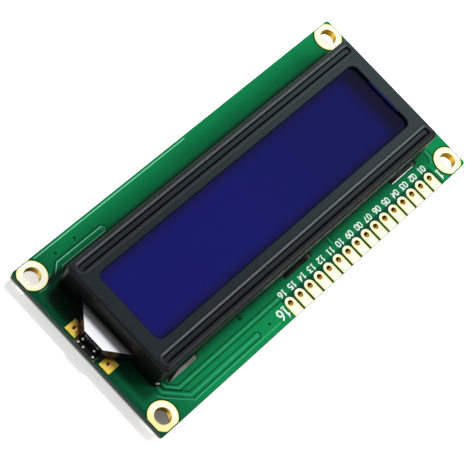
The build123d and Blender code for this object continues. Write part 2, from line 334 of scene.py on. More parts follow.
hole_x, hole_y = 37.5, 15.5
sunk = 0.005
header_track = [(15.0, 16.05), (31.25, 16.05), (34.8, 12.5), (34.8, 11.3)]
bezel_track = [(7.2, 13.85), (32.05, 13.85), (33.65, 12.25), (33.65, 11.3)]
outer_track = [(10.0, 17.05), (31.3, 17.05), (35.1, 13.5), (35.8, 12.5)]
far_track = [(22.2, -14.2), (32.4, -14.2), (34.6, -12.4)]
far_edge_track = [(-1.0, -17.5), (35.2, -17.5)]
corner_tracks = [[(-35.4, 11.6), (-35.4, 12.9), (-34.6, 14.0)], [(-8.0, 11.5), (-8.0, 13.0)]]

gap_width, gap_height, end_gap_radius = 0.22, 0.006, 0.62
gap_runs = [arc(*track[0], end_gap_radius, 90, 270) for track in (header_track, far_track)]
gap_reaches = [(header_track, 0.6), (bezel_track, 0.5), (far_track, 0.85)]
for track, reach in gap_reaches + [(track, 0.5) for track in corner_tracks]:
    gap_runs += [shifted(track, reach), shifted(track, -reach)]
gap_material = mask_finish("mask_over_bare_core", srgb(2, 44, 28), srgb(3, 66, 38), srgb(5, 80, 46))
mask_gaps = ribbon("mask_gaps", gap_runs, gap_width, face_z - sunk, face_z + gap_height)
wear(mask_gaps, gap_material)

ridge_height, ridge_width, edge_ridge_width = 0.009, 0.26, 0.14
ridge_runs = [header_track, bezel_track, outer_track] + corner_tracks
soft_ridge = mask_finish("mask_over_track", srgb(22, 112, 76), srgb(38, 146, 98), srgb(58, 166, 118))
header_ridges = ribbon("header_ridges", ridge_runs, ridge_width, face_z - sunk, face_z + ridge_height)
wear(header_ridges, soft_ridge)

# Painted highlights: pale green ribbons on the far side along both edges of its track, along the board's edge
# and round a screw ring, where the mask's ridges catch the light.
far_highlight_runs = [shifted(far_track, 0.48), shifted(far_track, -0.5), far_edge_track,
            arc(hole_x, -hole_y, 2.95, 70, 150)]
ridge_highlight = mask_finish("painted_track_edge_highlight", srgb(110, 196, 160), srgb(130, 218, 182),
                           srgb(168, 236, 208))
far_highlight_ridges = ribbon("far_highlight_ridges", far_highlight_runs, edge_ridge_width, face_z - sunk, face_z + ridge_height)
wear(far_highlight_ridges, ridge_highlight)


# Openings in the mask round each screw ring: the mask is exposed through a film that keeps it a hair outside
# the gold, and the bare core shows dark between the two. Each opening ends where it meets the board's edges.
opening_radius, opening_width, opening_height = 2.79, 0.28, 0.012
hole_to_edge = board_side_y - hole_y
edge_angle = math.degrees(math.acos(hole_to_edge / (opening_radius + opening_width / 2)))
opening_half_turn = 134.9 - edge_angle
opening_runs = []
for x, y in ((-hole_x, -hole_y), (-hole_x, hole_y), (hole_x, -hole_y), (hole_x, hole_y)):
    inward = math.degrees(math.atan2(-y / abs(y), -x / abs(x)))
    opening_runs.append(arc(x, y, opening_radius, inward - opening_half_turn, inward + opening_half_turn, 60))
mask_windows = ribbon("mask_windows", opening_runs, opening_width, face_z - sunk, face_z + opening_height)
wear(mask_windows, gap_material)
rear_windows = ribbon("rear_windows", opening_runs, opening_width, rear_z - opening_height, rear_z + sunk)
wear(rear_windows, gap_material)


# Printed pin numbers: white epoxy ink screened on the mask, small ones beside the sixteen lands and a larger
# one at each end of the row. Each digit is drawn as plotter strokes in a cell 0.6 wide and 1 high.
DIGITS = {
    "0": [[(0.15, 0), (0.45, 0), (0.6, 0.2), (0.6, 0.8), (0.45, 1), (0.15, 1), (0, 0.8), (0, 0.2),
           (0.15, 0)]],
    "1": [[(0.08, 0.78), (0.3, 1), (0.3, 0)], [(0.08, 0), (0.52, 0)]],
    "2": [[(0, 0.8), (0.15, 1), (0.45, 1), (0.6, 0.8), (0.6, 0.62), (0, 0), (0.6, 0)]],
    "3": [[(0, 1), (0.6, 1), (0.28, 0.6), (0.45, 0.58), (0.6, 0.4), (0.6, 0.18), (0.45, 0), (0.12, 0),
           (0, 0.14)]],
    "4": [[(0.46, 0), (0.46, 1), (0, 0.3), (0.62, 0.3)]],
    "5": [[(0.56, 1), (0.06, 1), (0.03, 0.56), (0.4, 0.6), (0.6, 0.42), (0.6, 0.18), (0.42, 0),
           (0.12, 0), (0, 0.14)]],
    "6": [[(0.5, 1), (0.18, 0.8), (0, 0.45), (0, 0.18), (0.15, 0), (0.45, 0), (0.6, 0.18), (0.6, 0.38),
           (0.45, 0.56), (0.1, 0.54)]],
    "7": [[(0, 1), (0.6, 1), (0.2, 0)]],
    "8": [[(0.3, 0.54), (0.12, 0.56), (0.03, 0.7), (0.03, 0.86), (0.16, 1), (0.44, 1), (0.57, 0.86),
           (0.57, 0.7), (0.46, 0.56), (0.3, 0.54), (0.14, 0.52), (0, 0.36), (0, 0.16), (0.14, 0),
           (0.46, 0), (0.6, 0.16), (0.6, 0.36), (0.46, 0.52), (0.3, 0.54)]],
    "9": [[(0.1, 0), (0.42, 0.2), (0.6, 0.55), (0.6, 0.82), (0.45, 1), (0.15, 1), (0, 0.82), (0, 0.62),
           (0.15, 0.44), (0.5, 0.46)]],
}
digit_width, digit_advance = 0.6, 0.82


def number_strokes(number, x, y, height, slim, reads=1):
    """Strokes of a number centred on x and y. Slim narrows its digits, and reads is -1 where it is read from
    the rear, so that it runs the other way."""
    left = -(digit_advance * (len(number) - 1) + digit_width) / 2
    across = reads * height * slim
    strokes = []
    for place, digit in enumerate(number):
        cell = left + place * digit_advance
        for line in DIGITS[digit]:
            strokes.append([(x + across * (cell + u), y + (v - 0.5) * height) for u, v in line])
    return strokes


def ink_finish():
    """White epoxy ink, chalky and a little thin in places so that the green shows through."""
    material, tree, shader = finish("printed_ink")
    drift = grain(tree, shader, 3000.0, 900.0, 0.2)
    white = mix_colour(tree, drift, srgb(206, 232, 220), srgb(252, 255, 252))
    tree.links.new(white, shader.inputs["Base Color"])
    shader.inputs["Roughness"].default_value = 0.7
    return material


ink = ink_finish()
ink_sunk, ink_height, pin_stroke, end_stroke = 0.004, 0.016, 0.21, 0.3
pin_number_y, pin_number_height = 13.66, 1.02
pin_xs = [first_pin_x + pin_pitch * pin for pin in range(pin_count)]
pin_runs = []
for pin, x in enumerate(pin_xs, start=1):
    pin_runs += number_strokes(f"{pin:02d}", x, pin_number_y, pin_number_height, slim=1.0)
pin_print = ribbon("pin_print", pin_runs, pin_stroke, face_z - ink_sunk, face_z + ink_height)
wear(pin_print, ink)
end_runs = number_strokes("1", first_pin_x - 2.2, y=16.4, height=1.6, slim=0.9)
end_runs += number_strokes("16", pin_xs[-1] + 2.4, y=16.25, height=1.8, slim=0.82)
end_print = ribbon("end_print", end_runs, end_stroke, face_z - ink_sunk, face_z + ink_height)
wear(end_print, ink)


# Plated holes and screw rings: copper lands with a thin gold flash on both faces, joined by the drilled
# barrel, which is darker inside. The faces of the screw rings and the header's lands are painted pale as a
# highlight. Two square ones beside the lamp are yellower, with painted shade in brown beside the nose.
def gold_finish(name, face, edge, barrel, hole, land, pitch, first_x, row_y, middle_y=0.0, round_land=True,
                metal=0.7, overlay_colour=srgb(150, 72, 14), overlay_share=None):
    """Bright gold over copper, pale on the faces where the face colour is a painted highlight. It deepens in
    a band at the hole and in one at the land's rim, and browns inside the barrel. Distances run from the
    nearest hole of two rows, row_y to each side of the middle. The function overlay_share, if there is one,
    says how
    far a face takes the overlay colour: painted shade beside the nose on the lamp pads, a yellower face on
    one screw ring."""
    material, tree, shader = finish(name)
    x, y, z, _ = place_sockets(tree)
    cell = calc(tree, "FLOORED_MODULO", calc(tree, "ADD", x, (pitch / 2 - first_x) * MM), pitch * MM)
    along = distance(tree, cell, pitch / 2)
    across = distance(tree, distance(tree, y, middle_y), row_y)
    away = calc(tree, "SQRT", calc(tree, "ADD", times(tree, along, along), times(tree, across, across)))
    rim = fade(tree, away if round_land else along, land - 0.25, land)
    lip = times(tree, fade(tree, away, hole + 0.25, hole), 0.4 if round_land else 1.0)
    drift = grain(tree, shader, 1800.0, 500.0, 0.12)
    rim_and_grain = calc(tree, "MULTIPLY_ADD", drift, 0.2, largest(tree, rim, lip))
    faces = mix_colour(tree, rim_and_grain, face, edge)
    if overlay_share:
        faces = mix_colour(tree, overlay_share(tree, x, y), faces, overlay_colour)
    inside = calc(tree, "LESS_THAN", distance(tree, z, board_middle_z), (board_half + 0.035) * MM)
    tree.links.new(mix_colour(tree, inside, faces, barrel), shader.inputs["Base Color"])
    tree.links.new(calc(tree, "MULTIPLY_ADD", drift, 0.12, 0.28), shader.inputs["Roughness"])
    tree.links.new(calc(tree, "MULTIPLY_ADD", inside, 1.0 - metal, metal), shader.inputs["Metallic"])
    return material


def past_lamp_corner(tree, x, y):
    """Rises across the screw ring at the lamp end on the header side, where its face is yellower, and is
    zero at the other three."""
    lean = 0.6
    ring_middle = hole_x + lean * hole_y
    towards_corner = calc(tree, "MULTIPLY_ADD", y, lean, x)
    return times(tree, fade(tree, towards_corner, ring_middle - 1.2, ring_middle + 1.8), 0.6)


lamp_hole_x, lamp_holes_middle_y, lamp_hole_pitch = 38.3, -0.45, 8.05
nose_tip_x, nose_y, nose_half_tip, nose_slope = 38.7, -0.7, 2.15, 1.125


def beside_nose(tree, x, y):
    """One at the flank of the backlight's nose, which widens by its slope from the tip towards the bezel, and
    zero a little way off. It places the painted shade that browns the lamp pads beside the nose."""
    off_flank = calc(tree, "MULTIPLY_ADD", x, nose_slope, distance(tree, y, nose_y))
    flank = nose_half_tip + nose_slope * nose_tip_x
    return fade(tree, off_flank, flank + 1.1, flank + 0.1)


# A near-white gold: a painted highlight on the lands' faces, where they mirror the light.
highlight_pale_gold = srgb(255, 253, 241)
ring_gold = gold_finish("ring_gold", highlight_pale_gold, srgb(248, 238, 112), srgb(212, 166, 24),
                        hole=1.5, land=2.65, pitch=2 * hole_x, first_x=-hole_x, row_y=hole_y,
                        overlay_colour=srgb(252, 232, 92), overlay_share=past_lamp_corner)
pad_gold = gold_finish("pad_gold", highlight_pale_gold, srgb(240, 232, 120), srgb(204, 128, 4), hole=0.5,
                       land=header_land_half, pitch=pin_pitch, first_x=first_pin_x, row_y=header_y,
                       round_land=False)
# The lamp pads' brown beside the nose is painted shade.
lamp_gold = gold_finish("lamp_pad_gold", srgb(255, 224, 84), srgb(232, 172, 44), srgb(236, 150, 40),
                        hole=0.45, land=1.9, pitch=lamp_hole_pitch, first_x=lamp_hole_x,
                        row_y=lamp_hole_pitch / 2, middle_y=lamp_holes_middle_y, metal=0.4,
                        overlay_share=beside_nose)
dress([f"corner_ring_{n}" for n in range(1, 5)], ring_gold)
dress([f"header_pad_{n:02d}" for n in range(1, pin_count + 1)], pad_gold)
dress(["lamp_pad_1", "lamp_pad_2"], lamp_gold)


# Vias: half-millimetre drillings through the board, plated like the larger holes and tented with mask, which
# sinks into them. One larger test hole beside the bezel is left open, and two tracks end in a small land.
def turned(name, places, profile, count=28):
    """Rings, plugs or beads: a closed profile of radius and height in mm, given anticlockwise with the radius
    to the right, turned round the upright axis of each place, to x + r cos a and y + r sin a."""
    r, h = np.array(profile[::-1], float).T
    a = np.linspace(0, 2 * np.pi, count, endpoint=False)
    upright = np.broadcast_to(h, (count, len(h)))
    grids = [np.stack([x + np.outer(np.cos(a), r), y + np.outer(np.sin(a), r), upright], -1)
             for x, y in places]
    return piece_from(name, grids, along=True, smooth=True)


def hole_finish():
    """Nearly black green: painted shade of a drilling, where mask has sunk into it or the hole is left open.
    """
    material, tree, shader = finish("drilled_shadow")
    drift = grain(tree, shader, 3000.0, 1200.0, 0.1)
    tree.links.new(mix_colour(tree, drift, srgb(4, 40, 22), srgb(8, 52, 30)), shader.inputs["Base Color"])
    shader.inputs["Roughness"].default_value = 0.6
    shader.inputs["Specular IOR Level"].default_value = 0.1
    return material


axis_r = 0.001
dark_hole = hole_finish()
via_places = [(11.8, 16.0), (27.3, -16.0), (31.7, -16.0)]
via_profile = [(axis_r, 0.004), (axis_r, 0.0), (0.24, 0.0), (0.24, 0.006), (0.16, 0.012)]
via_plugs = turned("via_plugs", via_places, via_profile)
wear(via_plugs, dark_hole)
test_hole_place = (15.2, 11.95)
test_profile = [(axis_r, 0.006), (axis_r, 0.0), (0.42, 0.0), (0.42, 0.008)]
test_hole = turned("test_hole", [test_hole_place], test_profile)
wear(test_hole, dark_hole)
land_profile = [(0.16, 0.014), (0.16, 0.0), (0.4, 0.0), (0.4, 0.006), (0.3, 0.02)]
via_lands = turned("via_lands", [header_track[0], far_track[0]], land_profile)
wear(via_lands, soft_ridge)


# The bezel: one drawn steel shell with black baked paint. It is pressed down over the display, and its tabs
# go through the board's slots and are twisted a little behind it, so that they can't slip back.
bezel_top = float(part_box("bezel")[1][2]) / MM


def paint_finish(name, base, pale, roughness, gloss):
    """Black baked paint with a fine orange peel. Painted light makes it greyer towards the pin 1 end, painted
    shade makes it dark along the header side and down the steep faces, and a near-white spot at one foot is
    a painted glint."""
    material, tree, shader = finish(name)
    x, y, _, place = place_sockets(tree)
    drift = grain(tree, shader, 2600.0, 260.0, 0.25)
    # Painted light: greyer towards the pin 1 end.
    flat = mix_colour(tree, fade(tree, x, lamp_end_x - 9.3, pin_end_x - 5.0), base, pale)
    flat = mix_colour(tree, times(tree, drift, 0.2), flat, pale)
    # Painted shade along the header side.
    header_side_shade = times(tree, fade(tree, y, header_wall_y - 2.25, header_wall_y - 1.05), 0.85)
    flat = mix_colour(tree, header_side_shade, flat, srgb(6, 8, 10))
    # Painted shade on the steep faces, which turn away from the light.
    lie = tree.nodes.new("ShaderNodeSeparateXYZ")
    tree.links.new(tree.nodes.new("ShaderNodeNewGeometry").outputs["Normal"], lie.inputs[0])
    steep = fade(tree, calc(tree, "ABSOLUTE", lie.outputs[2]), 0.85, 0.55, scale=1.0)
    colour = mix_colour(tree, steep, flat, srgb(3, 5, 6))
    # A painted glint: a near-white spot at the foot of the bezel's corner at the lamp end.
    from_glint = tree.nodes.new("ShaderNodeVectorMath")
    from_glint.operation = "DISTANCE"
    glint_x, glint_y, glint_z = lamp_end_x - 0.15, header_wall_y - 0.1, face_z + 1.6
    tree.links.new(place, from_glint.inputs[0])
    from_glint.inputs[1].default_value = (glint_x * MM, glint_y * MM, glint_z * MM)
    painted_glint = fade(tree, from_glint.outputs["Value"], 0.5, 0.36)
    tree.links.new(mix_colour(tree, painted_glint, colour, srgb(255, 240, 234)), shader.inputs["Base Color"])
    soft = calc(tree, "MULTIPLY_ADD", steep, 0.06, roughness)
    tree.links.new(calc(tree, "MULTIPLY_ADD", drift, 0.1, soft), shader.inputs["Roughness"])
    shader.inputs["Specular IOR Level"].default_value = gloss
    return material


# The grey is the painted light towards the pin 1 end; the paint's grain drifts towards it too.
bezel_black, bezel_grey = srgb(19, 26, 30), srgb(45, 55, 57)
dress(["bezel"], paint_finish("bezel_paint", bezel_black, bezel_grey, 0.26, 0.16))


# Rolled shoulders of the bezel: round each pressed groove the sheet bends over gently before it dips. The
# paint lies smoother on the bend than on the flats, and catches the light.
def shoulder(name, centres, length, width, corner, reach, height):
    """A rim outside a rounded rectangle. At a share u of its reach outwards it stands
    height * (1 - cos(pi u)) / 2 above the sheet, level at both ends and steepest midway, and then it drops
    back into the sheet."""
    side = np.array([[length / 2 - corner, width / 2 - corner]])
    a = np.linspace(0, np.pi / 2, 9)
    quarter = np.stack([np.cos(a), np.sin(a)], 1)
    turns = [np.array([[c, -d], [d, c]]) for c, d in ((1, 0), (0, 1), (-1, 0), (0, -1))]
    normal = np.vstack([quarter @ turn.T for turn in turns])
    signs = [(1, 1), (-1, 1), (-1, -1), (1, -1)]
    base = np.vstack([np.repeat(side * np.array(sign), len(a), 0) for sign in signs]) + corner * normal
    u = np.linspace(0, 1, 9)
    skirt, drop = 0.12, 0.03
    out = np.append(u * reach, [reach + skirt, reach + skirt, 0.0])
    rise = np.append(height * (1 - np.cos(np.pi * u)) / 2, [0.0, -drop, -drop])
    grids = []
    for x, y in centres:
        plan = base[:, None, :] + normal[:, None, :] * out[None, :, None] + (x, y)
        grids.append(np.dstack([plan, np.broadcast_to(bezel_top + rise, plan.shape[:2])]))
    return piece_from(name, grids, along=True, smooth=True)


groove_x, groove_ys = 0.15, (9.6, -10.3)
groove_length, groove_width, groove_corner, groove_depth = 68.0, 1.35, 0.5, 0.4
groove_centres = [(groove_x, y) for y in groove_ys]
groove_shoulders = shoulder("groove_shoulders", groove_centres, groove_length, groove_width, groove_corner,
                            reach=0.56, height=0.125)
shoulder_paint = paint_finish("shoulder_paint", bezel_black, bezel_grey, 0.18, 0.27)
wear(groove_shoulders, shoulder_paint)


# Painted shade in the grooves: a near-black, dull strip along the foot of each groove's outer wall.
shade_line_half_length, shade_line_offset, shade_line_width = groove_length / 2 - 0.8, 0.35, 0.19
shade_line_runs = [[(groove_x - shade_line_half_length, y + shade_line_offset), (groove_x + shade_line_half_length, y + shade_line_offset)]
             for y in groove_ys]
groove_floor = bezel_top - groove_depth
groove_shade_lines = ribbon("groove_shade_lines", shade_line_runs, shade_line_width, groove_floor - 0.01, groove_floor + 0.006)
groove_shade_paint = paint_finish("groove_shade_paint", srgb(1, 2, 2), srgb(2, 3, 3), 0.6, 0.05)
wear(groove_shade_lines, groove_shade_paint)


# The display cell: two panes with the crystal between them and a polariser on each face, held under the
# bezel's window. Unpowered, the front film shows deep blue, and painted shade fades it to near black towards
# the window's edges, most at the pin 1 end.
film_top = float(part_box("front_polariser")[1][2]) / MM
window_x, window_y, window_length, window_width = 0.15, -0.55, 64.5, 14.6
pin_end_wall_x, lamp_end_wall_x = window_x - window_length / 2, window_x + window_length / 2


def film_finish():
    """Smooth plastic film in painted shade and light. It comes out of near black over the first millimetres
    at the pin 1 end, brightens a little towards the middle, and its rim fades by the distance from the
    window's long middle line."""
    material, tree, shader = finish("display_film")
    x, y, _, _ = place_sockets(tree)
    # Painted light brightening towards the middle, painted shade at the pin 1 end and along the rim.
    to_middle = fade(tree, x, pin_end_wall_x + 12.1, window_x + 7.85)
    blue = mix_colour(tree, to_middle, srgb(17, 20, 82), srgb(19, 21, 93))
    out_of_dark = fade(tree, x, pin_end_wall_x + 1.9, pin_end_wall_x + 5.9)
    blue = mix_colour(tree, out_of_dark, srgb(8, 11, 20), blue)
    from_line = distance(tree, y, window_y)
    rim = times(tree, fade(tree, from_line, window_width / 2 - 2.3, window_width / 2 + 0.4), 0.75)
    lamp_rim = times(tree, fade(tree, x, lamp_end_wall_x - 1.4, lamp_end_wall_x + 0.4), 0.5)
    edges = mix_colour(tree, largest(tree, rim, lamp_rim), blue, srgb(12, 14, 34))
    drift = grain(tree, shader, 5000.0, 90.0, 0.05)
    mottle = calc(tree, "MULTIPLY_ADD", drift, 0.3, -0.05)
    tree.links.new(mix_colour(tree, mottle, edges, srgb(24, 18, 84)), shader.inputs["Base Color"])
    shader.inputs["Roughness"].default_value = 0.42
    shader.inputs["Specular IOR Level"].default_value = 0.08
    return material


def tinted(name, low, high, roughness, scale, drift_scale, strength, **constants):
    """A plain finish in two close tones with the shared grain, for films, mouldings and cast pieces. The
    constants are further inputs of the shader, named with underscores for spaces."""
    material, tree, shader = finish(name)
    drift = grain(tree, shader, scale, drift_scale, strength)
    tree.links.new(mix_colour(tree, drift, low, high), shader.inputs["Base Color"])
    shader.inputs["Roughness"].default_value = roughness
    for socket, value in constants.items():
        shader.inputs[socket.replace("_", " ")].default_value = value
    return material


cell_glass = tinted("cell_glass", srgb(190, 205, 202), srgb(214, 226, 222), 0.06, 600.0, 60.0, 0.02,
                    Transmission_Weight=0.85, IOR=1.52)
rear_film = tinted("rear_film", srgb(40, 40, 62), srgb(52, 52, 78), 0.3, 900.0, 80.0, 0.03)
dress(["front_polariser"], film_finish())
dress(["upper_glass", "lower_glass"], cell_glass)
dress(["rear_polariser"], rear_film)


# A painted reflection at the pin 1 end: an upright strip of bright blue at the foot of the window's end
# wall, the blue gleam there.
gleam_x, gleam_width = pin_end_wall_x + 0.05, 0.16
gleam_run = [(gleam_x, -3.5), (gleam_x, 3.7)]
painted_gleam_strip = ribbon("painted_gleam_strip", [gleam_run], gleam_width, film_top + 0.02, film_top + 0.54)
painted_gleam_blue = tinted("painted_gleam_blue", srgb(3, 9, 96), srgb(6, 18, 140), 0.4, 3000.0, 400.0, 0.05)
wear(painted_gleam_strip, painted_gleam_blue)


# Contact strips: silicone rubber with a carbon layer every fifth of a millimetre, squeezed between the
# ledges of the glass and the board's copper, so that each layer joins one contact to another.
def rubber_finish():
    """Grey rubber with a dark carbon stripe over half of each layer's pitch."""
    material, tree, shader = finish("striped_rubber")
    x, _, _, _ = place_sockets(tree)
    layer_pitch = 0.2
    wave = calc(tree, "SINE", times(tree, x, 2 * math.pi / (layer_pitch * MM)))
    carbon = calc(tree, "GREATER_THAN", wave, 0.0)
    grain(tree, shader, 2200.0, 200.0, 0.3)
    striped = mix_colour(tree, carbon, srgb(120, 122, 124), srgb(30, 30, 32))
    tree.links.new(striped, shader.inputs["Base Color"])
    shader.inputs["Roughness"].default_value = 0.75
    return material


dress(["contact_strip_header_side", "contact_strip_far_side"], rubber_finish())


# The backlight: a white moulded tray with a nose that reaches out of the bezel to the lamp, a clear guide
# and two white films laid in it. The nose's flanks and tip are dark blue.
nose_root_x, nose_top_z = 33.9, 2.98


def tray_finish():
    """White moulded plastic, greyed by painted shade where the nose comes out from under the bezel's edge,
    and dark blue on the nose's flanks and tip."""
    material, tree, shader = finish("tray_white")
    x, _, z, _ = place_sockets(tree)
    dark_flank = times(tree, calc(tree, "GREATER_THAN", x, nose_root_x * MM),
                  calc(tree, "LESS_THAN", z, nose_top_z * MM))
    drift = grain(tree, shader, 1500.0, 220.0, 0.15)
    white = mix_colour(tree, drift, srgb(240, 240, 243), srgb(252, 252, 254))
    # Painted shade at the nose's root, under the bezel's edge.
    white = mix_colour(tree, fade(tree, x, lamp_end_x + 1.05, lamp_end_x - 0.1), white, srgb(24, 24, 30))
    flank_blue = mix_colour(tree, drift, srgb(9, 11, 30), srgb(17, 20, 46))
    tree.links.new(mix_colour(tree, dark_flank, white, flank_blue), shader.inputs["Base Color"])
    tree.links.new(calc(tree, "MULTIPLY_ADD", dark_flank, -0.12, 0.4), shader.inputs["Roughness"])
    shader.inputs["Specular IOR Level"].default_value = 0.15
    return material


white_film = tinted("white_film", srgb(232, 233, 234), srgb(244, 244, 244), 0.55, 1500.0, 220.0, 0.1)
guide_acrylic = tinted("guide_acrylic", srgb(222, 230, 236), srgb(236, 242, 246), 0.05, 600.0, 60.0, 0.02,
                       Transmission_Weight=0.9, IOR=1.49)
dress(["backlight_tray"], tray_finish())
dress(["reflector_sheet", "diffuser_sheet"], white_film)
dress(["light_guide"], guide_acrylic)


# The lamp: a side-firing light-emitting diode in smoky clear resin over dark lead-frame pads, soldered at
# both ends. Small near-white metal beads on it are painted glints, set where the resin glints.
resin = tinted("lamp_resin", srgb(6, 5, 4), srgb(22, 16, 11), 0.2, 1500.0, 220.0, 0.08,
               Specular_IOR_Level=0.12)
solder = tinted("terminal_solder", srgb(196, 194, 190), srgb(236, 236, 234), 0.28, 1600.0, 700.0, 0.5,
                Metallic=1.0)
stained_solder = tinted("stained_solder", srgb(58, 46, 32), srgb(104, 88, 62), 0.28, 1600.0, 700.0, 0.5,
                        Metallic=1.0)
dress(["lamp_body"], resin)
dress(["lamp_terminal_1", "lamp_terminal_2"], stained_solder)
# Painted glints: near-white beads where the lamp's resin catches the light.
glint_bead_places = [(38.95, 0.45), (38.95, -2.2), (39.85, 1.05), (39.85, -2.4), (39.85, -1.2)]
glint_bead_profile = [(axis_r, 1.09), (axis_r, 0.97), (0.24, 0.97), (0.23, 1.02), (0.16, 1.07), (0.08, 1.088)]
lamp_glint_beads = turned("lamp_glint_beads", glint_bead_places, glint_bead_profile, 18)
wear(lamp_glint_beads, solder)


# The two bonded chips: bare silicon wired to the board's rear under poured black epoxy, each dome kept in by
# a printed white dam.
blob_y, dam_radius, dam_width = -0.35, 9.9, 0.3
blob_xs = (-12.5, 17.5)
epoxy = tinted("chip_epoxy", srgb(13, 13, 14), srgb(25, 25, 26), 0.3, 500.0, 160.0, 0.5)
dress(["controller_blob", "driver_blob"], epoxy)
dam_runs = [arc(x, blob_y, dam_radius, 0, 360, 73) for x in blob_xs]
dams = ribbon("blob_dams", dam_runs, dam_width, rear_z - ink_height, rear_z + ink_sunk)
wear(dams, ink)


# Tracks on the rear: etched copper under the mask, from the header's holes and from rows of vias to the dams
# round the two chips, and straight from one dam to the other.
def fan(xs, row_y, blob_x, first_angle, last_angle):
    """Tracks from a row of holes to a chip: straight towards it, then a 45 degree run to its dam. Their ends
    are spread evenly round the dam from the first angle to the last, in degrees."""
    runs = []
    for x, angle in zip(xs, np.radians(np.linspace(first_angle, last_angle, len(xs)))):
        end_x = blob_x + dam_radius * math.cos(angle)
        end_y = blob_y + dam_radius * math.sin(angle)
        bend_y = end_y + math.copysign(abs(x - end_x), row_y - end_y)
        runs.append([(x, row_y), (x, bend_y), (end_x, end_y)])
    return runs


controller_x, driver_x = blob_xs
via_row_y, driver_row_y, via_pitch = -13.6, 12.4, 1.6
slot_xs, slot_half_length, slot_margin = (-28.75, 0.15, 29.05), 3.75, 0.6


def clear_of_slots(xs):
    """The places along x from which a track can run inwards without meeting one of the board's slots."""
    keep_off = slot_half_length + slot_margin
    return [float(x) for x in xs if all(abs(x - slot_x) > keep_off for slot_x in slot_xs)]


controller_via_xs = clear_of_slots(np.arange(-23.6, -4.0, via_pitch))
driver_via_xs = clear_of_slots(np.arange(5.6, 25.0, via_pitch))
driver_upper_xs = clear_of_slots(np.arange(17.5, 25.0, via_pitch))
controller_pin_xs = [x for x in clear_of_slots(pin_xs) if x < slot_xs[1]]
ladder_pitch, ladder_rows = 3.0, 4
link_ys = [blob_y + ladder_pitch * (row - (ladder_rows - 1) / 2) for row in range(ladder_rows)]
rear_runs = fan(controller_pin_xs, header_y - 1.1, controller_x, 150, 50)
rear_runs += fan(controller_via_xs, via_row_y, controller_x, 212, 328)
rear_runs += fan(driver_via_xs, via_row_y, driver_x, 212, 328)
rear_runs += fan(driver_upper_xs, driver_row_y, driver_x, 88, 48)
for y in link_ys:
    from_middle = math.sqrt(dam_radius ** 2 - (y - blob_y) ** 2)
    rear_runs.append([(controller_x + from_middle, y), (driver_x - from_middle, y)])
rear_track_width, rear_track_height = 0.45, 0.02
rear_tracks = ribbon("rear_tracks", rear_runs, rear_track_width, rear_z - rear_track_height, rear_z + sunk)
wear(rear_tracks, soft_ridge)
rear_places = [(x, via_row_y) for x in controller_via_xs + driver_via_xs]
rear_places += [(x, driver_row_y) for x in driver_upper_xs]
rear_land = [(0.16, rear_z - 0.03), (0.32, rear_z - 0.05), (0.46, rear_z - 0.02), (0.46, rear_z),
             (0.16, rear_z)]
rear_vias = turned("rear_vias", rear_places, rear_land, 20)
wear(rear_vias, soft_ridge)
rear_plug = [(axis_r, rear_z), (axis_r, rear_z - 0.024), (0.18, rear_z - 0.024), (0.18, rear_z)]
rear_plugs = turned("rear_plugs", rear_places, rear_plug, 16)
wear(rear_plugs, dark_hole)


# Chip components: ceramic blocks with tinned ends on the rear, each end drawn to its land by a fillet of
# solder, between two printed lines.
resistor_names = [f"chip_resistor_{n}" for n in range(1, 9)]
capacitor_names = [f"chip_capacitor_{n}" for n in range(1, 4)]
chip_names = resistor_names + capacitor_names
chip_boxes = [tuple(np.array(corner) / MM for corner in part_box(name)) for name in chip_names]
bare_half_length, land_height = 0.62, 0.02


def chip_finish(name, body, top, names):
    """A ceramic chip with tinned ends. The ends are where the nearest chip's middle is far enough away along
    x."""
    material, tree, shader = finish(name)
    x, _, _, _ = place_sockets(tree)
    middles = {round(float(sum(corner[0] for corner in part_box(chip))) / 2 / MM, 3) for chip in names}
    nearest = 1.0
    for middle in sorted(middles):
        nearest = calc(tree, "MINIMUM", nearest, distance(tree, x, middle))
    tinned = calc(tree, "GREATER_THAN", nearest, bare_half_length * MM)
    drift = grain(tree, shader, 2400.0, 900.0, 0.3)
    ceramic = mix_colour(tree, drift, body, top)
    tree.links.new(mix_colour(tree, tinned, ceramic, srgb(214, 214, 212)), shader.inputs["Base Color"])
    tree.links.new(tinned, shader.inputs["Metallic"])
    shader.inputs["Roughness"].default_value = 0.35
    return material


def fillets(name, reach=0.5, climb=0.8, thinning=0.35):
    """Solder at both ends of every chip. Over a share s of its reach the height falls as (1 - s) squared from
    the share of the chip's height that it climbs, and over a share t of half the width it thins by the
    fourth power of t."""
    s, t = np.linspace(0, 1, 7), np.linspace(-1, 1, 9)
    grids = []
    for low, high in chip_boxes:
        middle_y, width, height = (low[1] + high[1]) / 2, high[1] - low[1] + 0.1, high[2] - low[2]
        for end_x, outward in ((high[0], 1), (low[0], -1)):
            fall = climb * height * np.outer(1 - thinning * t ** 4, (1 - s) ** 2)
            x = np.broadcast_to(end_x + outward * reach * s, fall.shape)
            y = np.broadcast_to((middle_y - outward * width / 2 * t)[:, None], fall.shape)
            skin = np.stack([x, y, rear_z - land_height - fall], -1)
            foot = skin[:, [-1, 0]].copy()
            foot[..., 2] = rear_z + 0.01
            grids.append(np.concatenate([skin, foot], 1))
    return piece_from(name, grids)


